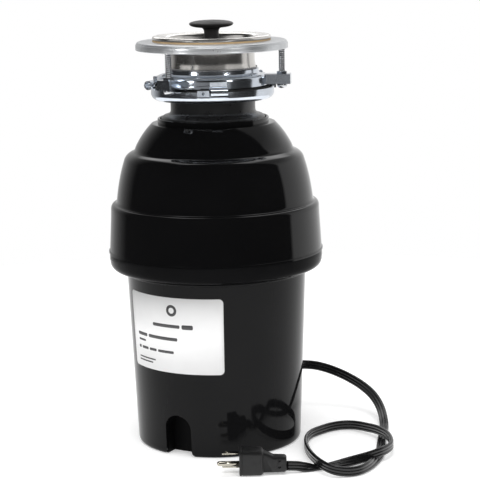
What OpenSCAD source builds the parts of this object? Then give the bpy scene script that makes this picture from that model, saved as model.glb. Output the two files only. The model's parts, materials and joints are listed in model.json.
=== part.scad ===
// Kitchen garbage disposal, standing on its base as it comes out of its box.
// Millimetres. The origin is on the body's axis at the surface it stands on, +Z is up.
// The front is -Y. Angles round the body are measured from the front, positive towards +X.

/* [Body] */
// Overall height of the lower shell
shell_h = 172; // [165:1:180]
// Outer radius of the lower shell just above its foot
foot_r = 81; // [80.5:0.1:81.2]
// Outer radius of the lower shell just under its lip
waist_r = 87.6; // [87.2:0.1:87.8]
// Sheet thickness of the outer shells
wall = 2.2; // [1.8:0.1:2.4]

/* [Notch and reset button] */
// Direction of the notch, seen from above
notch_angle = -29; // [-40:1:-20]
// Width of the notch
notch_w = 28; // [24:1:30]
// Height of the notch
notch_h = 40.5; // [36:0.5:41.5]
// Radius of the reset button
button_r = 4; // [3:0.1:4.5]

/* [Sink mount] */
// Radius of the sink flange, half of 4.5 inches
flange_r = 57.15; // [56:0.05:58]
// Inner radius of the throat
throat_r = 39.2; // [39:0.1:39.6]
// Radius of the backup ring
backup_r = 73.4; // [72:0.1:75]
// Radius of the circle that the three mounting bolts stand on
bolt_circle_r = 67.5; // [67:0.1:68]
// Direction of the first mounting bolt
bolt_angle = -36.5; // [-38:0.5:-35]
// Direction of the first rolled lug on the lock ring
lug_angle = 6; // [5:0.5:7]
// Radius of a mounting bolt
bolt_r = 3.2; // [3:0.05:3.3]

/* [Motor] */
// Outer radius of the motor can
can_r = 60; // [59:0.5:60]
// Radius of the armature
armature_r = 46; // [44:0.5:46]
// Radius of the motor shaft
shaft_r = 6; // [5.5:0.1:6.2]
// Number of slots in the armature
slots = 16; // [12:1:18]

/* [Grinding stage] */
// Radius of the turntable
turntable_r = 61; // [59:0.5:61.2]
// Inner radius of the grind ring
grind_ring_r = 62.2; // [62:0.1:62.5]
// Number of cutting slots in the grind ring
grind_slots = 30; // [20:1:36]
// Distance of an impeller's pin from the axis
impeller_pin_r = 40; // [39:0.5:41]

/* [Plumbing] */
// Height of the drain outlet's axis
outlet_z = 194; // [193:0.5:194.5]
// Inner radius of the drain outlet
outlet_r = 17; // [15:0.5:17]
// Distance between the two drain screws
drain_pitch = 62; // [60:0.5:64]
// Height of the dishwasher inlet's axis
inlet_z = 262; // [258:1:266]
// Outer radius of the dishwasher inlet
inlet_r = 11.1; // [10:0.1:11.5]

/* [Cord] */
// Direction in which the cord leaves the shell
cord_angle = 145; // [143:0.5:147]
// Height at which the cord leaves the shell
cord_z = 43; // [42:0.5:44]
// Width of the flat cord
cord_w = 9.4; // [8:0.1:9.6]
// Thickness of the flat cord
cord_t = 3.8; // [3:0.1:3.9]

/* [Hidden] */
$fn = 96;

// Room between a turning or sliding piece and its bore
running = 0.05;
// Room between pieces that are only nested
nested = 0.3;
eps = 0.02;

// Heights of the shell's steps
seam_z = 189.5;
belly_bottom_z = 172.2;
belly_r = 104;
collar_z = 319;
collar_r = 54;

// Motor and grinding stage levels
bell_z = 20;
can_bottom_z = 30;
can_top_z = 158;
chamber_z = 168;
turntable_z = 221;
ring_z = 222;
hopper_z = 228;
neck_z = 338;
neck_r = 41;
neck_bore_r = 36.8;

// Sink mount levels
lock_z = 337;
lock_r = 59.6;
ear_z = 357.5;
backup_z = 385;
backup_top_z = 393;
flange_z = 394.6;
rim_z = 398;
throat_z = 353;
tube_r = 4.5;
ramp_span = 46;

cord_tip_r = 107;
base_posts = [85, 205, 325];
button_pos_r = 71;

// Route of the flat cord, from the strain relief to the plug: x, y, z, and how far it is
// turned onto its edge, in degrees
cord_route = [
    [cord_tip_r * sin(cord_angle), -cord_tip_r * cos(cord_angle), cord_z, -90],
    [(cord_tip_r + 11.5) * sin(cord_angle), -(cord_tip_r + 11.5) * cos(cord_angle), cord_z, -88],
    [77, 102.4, 43.4, -82], [88.5, 104, 43.1, -70], [101.4, 102, 42.3, -62],
    [114.8, 98, 39.4, -57], [127.1, 91.5, 35.7, -54], [137.1, 84, 32.1, -52],
    [146.8, 74, 28, -50], [155.7, 61, 22.9, -47], [161.3, 46.5, 17.8, -43],
    [164.3, 31, 12.6, -37], [165, 14, 8.1, -28], [164.5, 0.8, 3.6, -16], [161.8, -19, 2.3, -5],
    [158.8, -41.8, 2.1, 0], [156.1, -64.8, 2.1, 0], [153.8, -81.1, 2.2, 4],
    [150.2, -97.6, 2.9, 26], [143.8, -118.1, 4.4, 64], [138.2, -130.3, 4.9, 84],
    [130.5, -140.3, 4.9, 90], [121.9, -144.8, 4.9, 90], [111.6, -147, 6.2, 90],
    [102.5, -144.9, 8.2, 90], [94.8, -134.1, 9.5, 90], [88.5, -113.7, 9.3, 90],
    [84.7, -85.7, 7.5, 90], [83.9, -58, 5.5, 90], [85.8, -36.2, 4.9, 90],
    [90.8, -21.6, 4.9, 90], [99.8, -10.1, 4.9, 90], [111.3, 0.7, 4.9, 90],
    [123.7, 6.2, 4.9, 90], [135.6, 3.3, 5.4, 90], [146.7, -9.9, 6.9, 90],
    [156.7, -27.7, 8.9, 90], [164.2, -48.2, 9.4, 90], [165.6, -74.4, 9.3, 90],
    [160.7, -89.6, 9.4, 90], [152.2, -100.9, 9.4, 90], [142.4, -105.8, 7.4, 82],
    [131.7, -110.3, 5.9, 72], [121, -114.5, 4.6, 55], [110.5, -117.4, 3.2, 30],
    [100.1, -119.5, 2.2, 5], [91.6, -122, 2.2, 5], [84.4, -125, 3.4, 40],
    [78.3, -128, 4.9, 75], [73, -130, 6.6, 88], [63, -130, 7, 90]
];
plug_x = 19;
plug_y = -130;
plug_z = 12.3;

// Points of an arc about (x, y), from angle a to angle b
function arc(x, y, r, a, b, n = 8) =
    [for (i = [0:n]) let (t = a + (b - a) * i / n) [x + r * cos(t), y + r * sin(t)]];

// A curve from p to q, drawn towards c
function bend(p, c, q, n = 6) =
    [for (i = [0:n]) let (t = i / n) (1 - t) * (1 - t) * p + 2 * t * (1 - t) * c + t * t * q];

function unit(v) = v / norm(v);
function heading(path, i) = unit(path[min(i + 1, len(path) - 1)] - path[max(i - 1, 0)]);

// One ring of a flat or round tube, rolled about its own line
function tube_ring(path, i, w, t, sides, roll) =
    let (d = heading(path, i), side = unit(cross(d, [0, 0, 1])), up = cross(side, d))
    [for (k = [0:sides - 1])
        let (a = 360 * k / sides, u = w / 2 * cos(a), v = t / 2 * sin(a))
        path[i] + (u * cos(roll) - v * sin(roll)) * side + (u * sin(roll) + v * cos(roll)) * up];

// A tube of width w and thickness t along a path of points, which may hold a roll too
module tube(route, w, t, sides = 8) {
    last = len(route) - 1;
    path = [for (p = route) [p[0], p[1], p[2]]];
    polyhedron(
        points = [for (i = [0:last])
            each tube_ring(path, i, w, t, sides, is_undef(route[i][3]) ? 0 : route[i][3])],
        faces = concat(
            [[for (k = [sides - 1:-1:0]) k]],
            [for (i = [0:last - 1], k = [0:sides - 1])
                let (a = i * sides, b = a + sides, m = (k + 1) % sides)
                each [[a + k, a + m, b + m], [a + k, b + m, b + k]]],
            [[for (k = [0:sides - 1]) last * sides + k]]
        )
    );
}

module turned(outline) {
    rotate_extrude($fn = 144) polygon(outline);
}

// A flat ring
module washer(r_in, r_out, z, h) {
    translate([0, 0, z]) difference() {
        cylinder(r = r_out, h = h);
        translate([0, 0, -1]) cylinder(r = r_in, h = h + 2);
    }
}

// An upright round hole or post at a distance and direction from the axis
module post(angle, at_r, r, z, h, sides = 48) {
    rotate([0, 0, angle]) translate([0, -at_r, z]) cylinder(r = r, h = h, $fn = sides);
}

// A round bar along +Y at height z
module back_bar(r, y, length, z) {
    translate([0, y, z]) rotate([-90, 0, 0]) cylinder(r = r, h = length);
}

// A block at a direction from the axis: from r_in to r_out, w wide
module radial_block(angle, r_in, r_out, w, z, h) {
    rotate([0, 0, angle]) translate([-w / 2, -r_out, z]) cube([w, r_out - r_in, h]);
}

// ---------------------------------------------------------------- outer shells

lower_outline = concat(
    bend([78, 0], [foot_r - 0.1, 0], [foot_r, 4.5]),
    [[waist_r, shell_h - 3.7]],
    bend([waist_r + 0.1, shell_h - 3.4], [waist_r + 1.9, shell_h - 3.2], [waist_r + 1.9, shell_h - 1.6]),
    bend([waist_r + 1.9, shell_h - 1.4], [waist_r + 1.8, shell_h], [waist_r + 0.2, shell_h]),
    [[waist_r - wall, shell_h], [foot_r - wall, 5], [77.4, 0]]
);

// A doorway shape: round at the top, with rounded feet
module doorway(w, h, foot) {
    polygon(concat(
        arc(0, h - w / 2, w / 2, 0, 180, 24),
        arc(-w / 2 - foot, foot, foot, 0, -90, 6),
        [[-w / 2 - foot, -1], [w / 2 + foot, -1]],
        arc(w / 2 + foot, foot, foot, 270, 180, 6)
    ));
}

// A doorway pushed outwards from r_in to r_out
module doorway_cut(w, h, foot, r_in, r_out) {
    rotate([0, 0, notch_angle]) translate([0, -r_in, 0]) rotate([90, 0, 0])
        linear_extrude(height = r_out - r_in) doorway(w, h, foot);
}

// The room that the drain outlet and its flange need in the shells
module outlet_room() {
    translate([0, 60, outlet_z]) rotate([-90, 0, 0]) linear_extrude(height = 60) {
        translate([-15, -26]) square([30, 52]);
        for (side = [-1, 1]) translate([side * 16, 0]) circle(r = 26);
    }
}

module lower_shell() {
    color("#0b0b0c") difference() {
        turned(lower_outline);
        doorway_cut(notch_w, notch_h, 5, 64, 95);
        rotate([0, 0, cord_angle]) translate([0, -70, cord_z]) rotate([90, 0, 0])
            cylinder(r = 7.2, h = 20);
    }
}

module base_cover() {
    cover_r = 77.2;
    tunnel_wall = 1.5;
    tunnel_back = 64;
    color("#111112") difference() {
        union() {
            cylinder(r = cover_r, h = 3);
            intersection() {
                cylinder(r1 = cover_r, r2 = cover_r + 1.4, h = notch_h + 5);
                doorway_cut(notch_w + 2 * tunnel_wall, notch_h + tunnel_wall, 0.5,
                    tunnel_back - tunnel_wall, 90);
                translate([-100, -100, 0]) cube([200, 200, 60]);
            }
            for (angle = base_posts) post(angle, 46, 5.5, 2, bell_z - 2 - eps);
        }
        doorway_cut(notch_w, notch_h, 0.5, tunnel_back, 95);
        post(notch_angle, button_pos_r, button_r + nested, notch_h - 10, 20);
        for (angle = base_posts) {
            post(angle, 46, 2.2, -1, 30);
            post(angle, 46, 4.3, -1, 3.4);
        }
    }
}

module base_screws() {
    color("#8d8f92") for (angle = base_posts) {
        post(angle, 46, 4, 0.4, 1.98);
        post(angle, 46, 2, 2.3, 23.7);
    }
}

belly_outline = concat(
    [[88.1, belly_bottom_z], [95.5, belly_bottom_z + 0.4]],
    bend([95.5, belly_bottom_z + 0.4], [belly_r, belly_bottom_z + 1.2], [belly_r, belly_bottom_z + 9.5], 8),
    [[belly_r + 0.1, seam_z - 0.2], [belly_r + 0.1 - wall, seam_z - 0.2]],
    bend([belly_r - wall, belly_bottom_z + 9.5], [belly_r - wall - 0.4, belly_bottom_z + 3],
        [95, belly_bottom_z + 2.6], 8),
    [[86.5, belly_bottom_z + 2.6], [86.5, belly_bottom_z]]
);

module belly_ring() {
    color("#0a0a0b") difference() {
        turned(belly_outline);
        outlet_room();
    }
}

// The upper shell's outside, from the seam up to the foot of the collar
upper_outside = concat(
    [[belly_r + 0.8, seam_z], [belly_r + 0.8, seam_z + 1.4], [belly_r - 0.2, seam_z + 3.5]],
    [[101.9, 224]],
    bend([101.6, 232.6], [101.2, 236.4], [98.2, 237]),
    bend([97.6, 237.2], [96.1, 237.8], [95.7, 240.2], 4),
    bend([95.3, 243.5], [92.8, 263], [88, 277.5]),
    bend([87.6, 278.8], [86.2, 284.2], [79.8, 286.8]),
    bend([79, 287.2], [77, 288.2], [76.4, 290.6], 4),
    bend([75.6, 292.6], [69.4, 304.8], [60.6, 313.6])
);

upper_outline = concat(
    upper_outside,
    bend([60, 314.2], [58.8, 314.5], [57, 314.5], 3),
    [[collar_r, 314.6], [collar_r, collar_z - 1]],
    bend([collar_r, collar_z - 1], [collar_r, collar_z + 0.4], [collar_r - 1.2, collar_z + 0.4], 4),
    [[51.7, collar_z], [51.7, 312.4]],
    [for (i = [len(upper_outside) - 1:-1:2]) upper_outside[i] - [wall, 2]],
    [[belly_r - 0.2 - wall, seam_z]]
);

module upper_shell() {
    color("#0b0b0c") difference() {
        turned(upper_outline);
        outlet_room();
        back_bar(13.6, 70, 50, inlet_z);
    }
}

// The flat outside of the lower shell at height z
function shell_r(z) = foot_r + (z - 4.5) * (waist_r - foot_r) / (shell_h - 3.7 - 4.5);

module rating_label() {
    low = 83;
    high = 157;
    from = -69;
    to = 4.5;
    lift = 0.05;
    sheet = 0.3;
    color("#f4f4f2") rotate([0, 0, from - 90]) rotate_extrude(angle = to - from, $fn = 144) polygon([
        [shell_r(low) + lift, low], [shell_r(low) + lift + sheet, low],
        [shell_r(high) + lift + sheet, high], [shell_r(high) + lift, high]
    ]);
}

module upper_insulation() {
    color("#3a3a3c") difference() {
        turned([
            [72.5, 239], [92.5, 239], [90, 256], [84.8, 273], [73.5, 281.5], [71, 290],
            [58, 305.5], [53.4, 303], [66, 276.5], [72.5, 256.5]
        ]);
        back_bar(14, 40, 80, inlet_z);
    }
}

module lower_insulation() {
    color("#3a3a3c") washer(can_r + 2.5, 78, 66, 90);
}

// ---------------------------------------------------------------- sink mount

module stopper() {
    knob_r = 21.3;
    color("#2a2b2c") turned(concat(
        [[0, 368], [35.6, 368], [35.6, 369.2], [34, 369.4], [34, 370.8], [35.6, 371], [35.6, 372], [9, 372.4]],
        bend([9, 372.4], [7.4, 372.6], [7.4, 375], 3),
        [[7.2, 401]],
        bend([7.2, 402], [7.4, 404.6], [10, 405.2], 4),
        bend([10.5, 405.3], [knob_r - 1, 405.8], [knob_r, 408.6]),
        bend([knob_r, 409.2], [knob_r - 1, 412.2], [0, 412.6], 10)
    ));
}

module stopper_seal() {
    color("#19191a") turned(concat(
        [[34 + eps, 369.4 + eps], [36, 369.4 + eps]], arc(37.5, 370.1, 1.3, -90, 90, 8),
        [[36, 370.8 - eps], [34 + eps, 370.8 - eps]]
    ));
}

module splash_guard() {
    petals = 8;
    color("#1a1a1b") difference() {
        turned([
            [6, 352.5], [37, 352.5], [37, 345.4], [38.9, 345.4], [38.9, 366], [37.2, 366],
            [37.2, 355.5], [34, 354.5], [6, 354.5]
        ]);
        for (i = [0:petals - 1]) rotate([0, 0, i * 360 / petals]) translate([0, -0.6, 350])
            cube([31, 1.2, 10]);
    }
}

module sink_flange() {
    throat_out = throat_r + 2;
    color("#c9c8c4") turned(concat(
        [[45, flange_z], [flange_r - 0.6, flange_z]],
        bend([flange_r - 0.6, flange_z], [flange_r + 0.7, flange_z + 2.2], [flange_r - 1.2, rim_z - 0.2]),
        [[flange_r - 2.4, rim_z], [48, rim_z - 1.2]],
        bend([47, rim_z - 1.4], [42, rim_z - 2], [40.6, rim_z - 7]),
        [[throat_r, 385], [throat_r, throat_z], [throat_out, throat_z], [throat_out, 362]],
        [[throat_out + 1.1, 363.5], [throat_out + 1.1, 370.5], [throat_out, 372], [throat_out, 391.5]],
        bend([throat_out, 391.6], [throat_out + 0.4, flange_z], [45, flange_z])
    ));
}

module fibre_gasket() {
    color("#b98a55") washer(45.6, flange_r - 0.2, backup_top_z + eps, 1.5);
}

module backup_ring() {
    color("#a6a9ab") turned(concat(
        [[42.9, 391.4], [42.9, backup_top_z], [70.8, backup_top_z]],
        bend([70.8, backup_top_z], [backup_r, backup_top_z], [backup_r, 390.4]),
        [[backup_r, backup_z + 0.6], [backup_r - 0.4, backup_z], [backup_r - 1.9, backup_z]],
        bend([backup_r - 1.9, 389.4], [backup_r - 2, 391.4], [69.4, 391.4], 4)
    ));
}

// A mounting bolt bears on the underside of the backup ring
module mounting_bolts() {
    head_z = 346.5;
    color("#b4b7b9") for (i = [0:2]) rotate([0, 0, bolt_angle + 120 * i]) {
        translate([0, -bolt_circle_r, head_z]) difference() {
            union() {
                cylinder(r = 5, h = 4.5);
                cylinder(r = bolt_r, h = 391.4 - eps - head_z);
            }
            translate([-6, -0.6, -1]) cube([12, 1.2, 2.4]);
        }
    }
}

module snap_ring() {
    snap_r = 0.9;
    color("#2a2b2d") rotate([0, 0, 10]) rotate_extrude(angle = 338)
        translate([43.3, 366 + snap_r + eps]) circle(r = snap_r, $fn = 24);
}

// One helical ramp of the upper mounting ring; it rises to the right
module ramp(from, rise) {
    steps = 12;
    low = 350.6;
    r_in = 52.6;
    r_out = 57.4;
    sheet = 1.6;
    function corner(i, k) =
        let (a = from + ramp_span * i / steps, z = low + rise * i / steps,
            r = (k == 0 || k == 3) ? r_in : r_out, top = k > 1 ? sheet : 0)
        [r * sin(a), -r * cos(a), z + top];
    polyhedron(
        points = [for (i = [0:steps], k = [0:3]) corner(i, k)],
        faces = concat(
            [[3, 2, 1, 0]],
            [for (i = [0:steps - 1], k = [0:3])
                let (a = 4 * i, b = a + 4, m = (k + 1) % 4)
                each [[a + k, b + m, b + k], [a + k, a + m, b + m]]],
            [[for (k = [0:3]) 4 * steps + k]]
        )
    );
}

module ear(angle) {
    half_w = 7.5;
    sheet = 2;
    r_end = 76;
    radial_block(angle, 48, r_end, 2 * half_w, ear_z, 3);
    rotate([0, 0, angle]) {
        for (side = [-half_w, half_w - sheet])
            translate([side, -r_end, 351]) cube([sheet, r_end - 52, ear_z + 1 - 351]);
        translate([-half_w, -r_end, 351]) cube([2 * half_w, sheet, ear_z + 1 - 351]);
        translate([0, -bolt_circle_r, ear_z + 2]) cylinder(r = 5.4, h = 3.4, $fn = 6);
    }
}

module upper_mounting_ring() {
    color("#c4c7ca") difference() {
        union() {
            turned(concat(
                [[43.2, 360], [43.2, 366], [44.8, 366]],
                bend([44.9, 363.6], [45.2, 361.4], [48.6, 361.2]),
                bend([49, 361.1], [53.4, 360.8], [53.4, 357.4]),
                [[53.4, 350.6], [51.6, 350.6], [51.6, 357], [50, 359.2]]
            ));
            for (i = [0:2]) {
                ear(bolt_angle + 120 * i);
                ramp(lug_angle - 36 + 120 * i, 3.6);
            }
            for (angle = [-15, 50, 105, 170, 225, 290]) rotate([0, 0, angle])
                translate([0, -48.6, 360.6]) sphere(r = 2.2, $fn = 24);
        }
        for (i = [0:2]) post(bolt_angle + 120 * i, bolt_circle_r, bolt_r + running, 340, 40);
    }
}

// A rolled lug with its strap, hook and locking tab
module lug() {
    half_l = 8;
    hook_z = 356.3;
    translate([-half_l, -lock_r - 0.2, 343]) cube([2 * half_l, 1.9, hook_z + 1.6 - 343]);
    translate([-half_l, -lock_r - 0.2, hook_z]) cube([2 * half_l, 5.2, 1.6]);
    translate([-half_l, -62.8, 345]) cube([2 * half_l, 4.6, 1.8]);
    translate([-half_l, -65.6, 348.8]) rotate([0, 90, 0]) difference() {
        cylinder(r = tube_r, h = 2 * half_l, $fn = 48);
        translate([0, 0, -1]) cylinder(r = 3, h = 2 * half_l + 2, $fn = 48);
    }
    difference() {
        translate([-20, -61.9, 344.6]) cube([11, 5.1, 5.8]);
        translate([-14.5, -56, 347.6]) rotate([90, 0, 0]) cylinder(r = 1.5, h = 10, $fn = 32);
    }
}

module lock_ring() {
    color("#c9cccf") difference() {
        union() {
            turned(concat(
                [[43.4, lock_z], [52, lock_z]],
                bend([52, lock_z], [lock_r - 1.2, lock_z + 0.2], [lock_r, lock_z + 6], 8),
                [[lock_r, 348.5], [lock_r - 1.8, 348.5]],
                bend([lock_r - 1.8, lock_z + 6.2], [lock_r - 3, lock_z + 2.1], [52, lock_z + 1.9], 8),
                [[43.4, lock_z + 1.9]]
            ));
            for (i = [0:2]) rotate([0, 0, lug_angle + 120 * i]) lug();
        }
        translate([0, 0, 340]) cylinder(r = lock_r - 3.6, h = 12);
    }
}

module mount_cushion() {
    color("#161617") turned([
        [39.5, 345.3], [49.2, 345.3], [49.2, 343], [55.4, 343], [55.4, 349.4], [51, 349.8],
        [49.6, 352.8], [39.5, 352.8]
    ]);
}

// ---------------------------------------------------------------- grinding stage

// The room inside the hopper, from the axis outwards
hopper_room = concat(
    [[0, 220], [66.8, 220], [66.8, 250]],
    bend([66.8, 250], [66.6, 258], [59, 271], 5),
    [[57, 276]],
    bend([57, 276], [44, 306], [neck_bore_r, 318]),
    [[neck_bore_r, 350], [0, 350]]
);

module hopper() {
    flange_out = 86;
    color("#151516") difference() {
        union() {
            turned(concat(
                [[50, hopper_z + eps], [flange_out, hopper_z + eps], [flange_out, 234], [71, 234]],
                bend([71, 252], [69.5, 262], [64, 275]),
                bend([60, 284], [50.6, 302], [50.6, 312], 5),
                bend([50.6, 318.6], [50.2, 320.6], [47.6, 321.8], 4),
                bend([46.8, 322.1], [neck_r, 323], [neck_r, 327], 5),
                [[neck_r, neck_z + 1.2], [48.4, neck_z + 1.2], [48.4, 345.1], [30, 345.1], [30, 300]]
            ));
            back_bar(13, 58, 96.5 - 58, inlet_z);
            back_bar(inlet_r, 90, 28, inlet_z);
        }
        turned(hopper_room);
        back_bar(8.5, 40, 90, inlet_z);
        for (i = [0:5]) post(i * 60, 81, 2.7, 220, 20);
    }
}

module inlet_plug() {
    color("#202021") back_bar(8.5 - eps, 74, 2.5, inlet_z);
}

module hopper_bolts() {
    color("#9b9da0") for (i = [0:5]) {
        post(i * 60, 81, 2.5, 221, 14);
        post(i * 60, 81, 4.6, 234 + eps, 3.4, 6);
    }
}

module grind_ring() {
    ring_out = 66.5;
    color("#b9babb") difference() {
        washer(grind_ring_r, ring_out, ring_z + eps, 28);
        for (i = [0:grind_slots - 1]) rotate([0, 0, i * 360 / grind_slots])
            translate([grind_ring_r - 1, -1.5, ring_z + 4]) cube([6, 3, 13]);
    }
}

module turntable() {
    color("#b4b6b8") difference() {
        union() {
            translate([0, 0, turntable_z]) cylinder(r = turntable_r, h = 3);
            translate([0, 0, 212]) cylinder(r = 15, h = 10);
        }
        translate([0, 0, 200]) cylinder(r = shaft_r + eps, h = 40);
        for (angle = [90, 270]) post(angle, impeller_pin_r, 4 + eps, 215, 20);
        for (i = [0:5]) post(i * 60, 52, 3, 215, 20);
    }
}

module turntable_nut() {
    color("#8e9092") difference() {
        translate([0, 0, turntable_z + 3 + eps]) cylinder(r = 10.5, h = 8, $fn = 6);
        translate([0, 0, 200]) cylinder(r = 5 + eps, h = 40);
    }
}

// A swivelling impeller about its own pin; its arm points along angle
module impeller(side, angle) {
    base_z = turntable_z + 3 + nested;
    color("#a9abad") translate([side * impeller_pin_r, 0, base_z]) rotate([0, 0, angle]) difference() {
        union() {
            cylinder(r = 8.5, h = 14.4);
            translate([0, -5, 0]) cube([14, 10, 6]);
            translate([13, 0, 0]) cylinder(r = 5.6, h = 14.4);
        }
        translate([0, 0, -1]) cylinder(r = 4 + running, h = 20);
    }
}

module impeller_1() { impeller(1, -55); }
module impeller_2() { impeller(-1, 125); }

module impeller_pins() {
    shank_z = turntable_z - eps;
    head_z = turntable_z + 3 + nested + 14.4 + nested;
    color("#7c7e80") for (angle = [90, 270]) {
        post(angle, impeller_pin_r, 4, turntable_z - 1, head_z - turntable_z + 1.5);
        post(angle, impeller_pin_r, 6.5, head_z, 2);
        post(angle, impeller_pin_r, 6.5, turntable_z - 2.4, 2.4 - eps);
    }
}

module slinger() {
    color("#1c1c1d") turned([
        [shaft_r + eps, 187], [22, 187], [24, 188.4], [24, 189.4], [10, 191], [10, 195], [shaft_r + eps, 195]
    ]);
}

module shaft_seal() {
    color("#1a1a1b") washer(shaft_r + running, 14, 174 + eps, 9.6);
}

module drain_chamber() {
    plate_y = 100;
    color("#7d8083") difference() {
        union() {
            turned([
                [8, chamber_z], [76, chamber_z], [76, 219], [86, 219], [86, hopper_z], [66.8, hopper_z],
                [66.8, ring_z], [63, ring_z], [63, 218], [72, 213], [72, 173], [18, 173], [18, 184],
                [14 + eps, 184], [14 + eps, 174], [8, 174]
            ]);
            difference() {
                back_bar(outlet_r + 3.5, 60, 45, outlet_z);
                translate([0, 0, 170]) cylinder(r = 72.5, h = 60);
            }
            translate([0, plate_y, outlet_z]) rotate([-90, 0, 0]) linear_extrude(height = 6) {
                translate([-14, -23.5]) square([28, 47]);
                for (side = [-1, 1]) translate([side * 16, 0]) circle(r = 23.5);
            }
        }
        back_bar(outlet_r, 60, 60, outlet_z);
        for (side = [-1, 1]) translate([side * drain_pitch / 2, 90, outlet_z]) rotate([-90, 0, 0])
            cylinder(r = 3, h = 30, $fn = 48);
        for (i = [0:5]) post(i * 60, 81, 2.6, 210, 30);
    }
}

// ---------------------------------------------------------------- motor

module shaft() {
    color("#8b8e91") union() {
        translate([0, 0, 24.5]) cylinder(r = shaft_r, h = turntable_z + 3 - 24.5);
        translate([0, 0, turntable_z]) cylinder(r = 5, h = 12.5);
    }
}

// A sealed ball bearing: outer race, shield and inner race as one piece
module bearing(r_out, z, h) {
    color("#9da0a3") difference() {
        washer(shaft_r + running, r_out, z, h);
        for (face = [z - 1, z + h - 0.6]) washer(shaft_r + 2.5, r_out - 2.5, face, 1.6);
    }
}

module upper_bearing() { bearing(16, 152, 9); }
module lower_bearing() { bearing(13, 24, 8); }

module bolt_row(r, z, h) {
    for (i = [0:3]) post(45 + 90 * i, 52.3, r, z, h, 32);
}

module upper_end_bell() {
    spigot_r = can_r - 2.7;
    color("#8a8d90") difference() {
        turned([
            [9, 161 + eps], [16 + eps, 161 + eps], [16 + eps, 151], [22, 151], [22, 158], [50, 158], [50, 154],
            [spigot_r, 154], [spigot_r, can_top_z], [62, can_top_z], [62, chamber_z - eps], [9, chamber_z - eps]
        ]);
        bolt_row(2.2, 140, 26);
    }
}

module lower_end_bell() {
    spigot_r = can_r - 2.7;
    color("#8a8d90") difference() {
        turned([
            [0, bell_z], [can_r, bell_z], [can_r, can_bottom_z], [spigot_r, can_bottom_z], [spigot_r, 34],
            [50, 34], [50, 25], [18, 25], [18, 32], [13 + eps, 32], [13 + eps, 24 - eps], [0, 24 - eps]
        ]);
        bolt_row(2.2, 10, 40);
        for (angle = base_posts) post(angle, 46, 2 + eps, 10, 30);
    }
}

module motor_can() {
    color("#55585b") washer(can_r - 2.5, can_r, can_bottom_z + eps, can_top_z - can_bottom_z - 2 * eps);
}

module field_magnets() {
    color("#3b3b3e") for (i = [0:3]) rotate([0, 0, 52 + 90 * i]) rotate_extrude(angle = 76)
        translate([armature_r + 0.9, 62]) square([can_r - 2.7 - armature_r - 0.9, 78]);
}

slot_depth = 12;

module slot_bars(w, r_in, r_out, z, h) {
    for (i = [0:slots - 1]) rotate([0, 0, i * 360 / slots]) translate([r_in, -w / 2, z])
        cube([r_out - r_in, w, h]);
}

module armature_core() {
    color("#6b6e71") difference() {
        washer(shaft_r + eps, armature_r, 66, 70);
        slot_bars(5, armature_r - slot_depth, armature_r + 2, 60, 90);
    }
}

module armature_windings() {
    color("#b0642e") union() {
        washer(20, armature_r - 2, 56, 9.8);
        washer(20, armature_r - 2, 136.2, 9.8);
        slot_bars(4.6, armature_r - slot_depth + nested, armature_r - 0.8, 60, 82);
    }
}

module commutator() {
    color("#b8763c") difference() {
        union() {
            washer(shaft_r + eps, 18, 36, 16);
            washer(shaft_r + eps, 20, 50, 3);
        }
        slot_bars(0.8, 16, 22, 30, 30);
    }
}

module brush_plate() {
    color("#6a4a2c") difference() {
        washer(21, 56.6, 34 + eps, 2.4);
        bolt_row(2.2, 30, 10);
    }
}

// The two brushes point at the commutator from the left and the right
brush_z = 43;

module brush_holders() {
    color("#c7a24a") for (turn = [0, 180]) rotate([0, 0, turn]) difference() {
        translate([22, -5.4, 36.5]) cube([27, 10.8, 11.6]);
        translate([21, -4.2, brush_z - 3.7]) cube([26, 8.4, 7.4]);
    }
}

module brushes() {
    color("#262627") for (turn = [0, 180]) rotate([0, 0, turn])
        translate([18.2, -4, brush_z - 3.5]) cube([14, 8, 7]);
}

module brush_springs() {
    turns = 6;
    steps = 12;
    span = 14;
    coil_r = 2.6;
    spiral = [for (i = [0:turns * steps]) let (a = 360 * i / steps)
        [coil_r * cos(a), coil_r * sin(a), span * i / (turns * steps)]];
    color("#a8aaad") for (turn = [0, 180]) rotate([0, 0, turn])
        translate([32.6, 0, brush_z]) rotate([0, 90, 0]) tube(spiral, 0.9, 0.9, 6);
}

module through_bolts() {
    color("#8e9093") union() {
        bolt_row(2, bell_z - 1, 147);
        bolt_row(4, bell_z - 3, 3 - eps);
    }
}

// ---------------------------------------------------------------- wiring

module overload_switch() {
    color("#1b1b1d") difference() {
        radial_block(notch_angle, 64.5, 77, 20, notch_h + 2, 20);
        post(notch_angle, button_pos_r, button_r + running, notch_h, 15);
    }
}

module reset_button() {
    color("#b3201c") post(notch_angle, button_pos_r, button_r, notch_h - 3.4, 12.4);
}

module terminal_block() {
    color("#d8d5c8") radial_block(cord_angle, 30, 46.4, 16, 6, 9);
}

module lead_wires() {
    route = [[74, 46], [71.5, 38], [67.5, 27], [63.5, 16], [56, 11], [46.5, 10.5]];
    color("#2c2c2e") for (side = [-1:1]) rotate([0, 0, cord_angle])
        tube([for (p = route) [side * 3.4, -p[0], p[1]]], 2.6, 2.6);
}

module strain_relief() {
    color("#121213") rotate([0, 0, cord_angle]) translate([0, -76, cord_z]) rotate([90, 0, 0]) {
        cylinder(r = 10, h = 3.4);
        cylinder(r = 7, h = 8);
        translate([0, 0, 7]) cylinder(r = 10.4, h = 2.4);
        translate([0, 0, 9]) cylinder(r1 = 8.6, r2 = 6, h = cord_tip_r - 76 - 9 - eps);
    }
}

module power_cord() {
    color("#141415") tube(cord_route, cord_w, cord_t);
}

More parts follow.
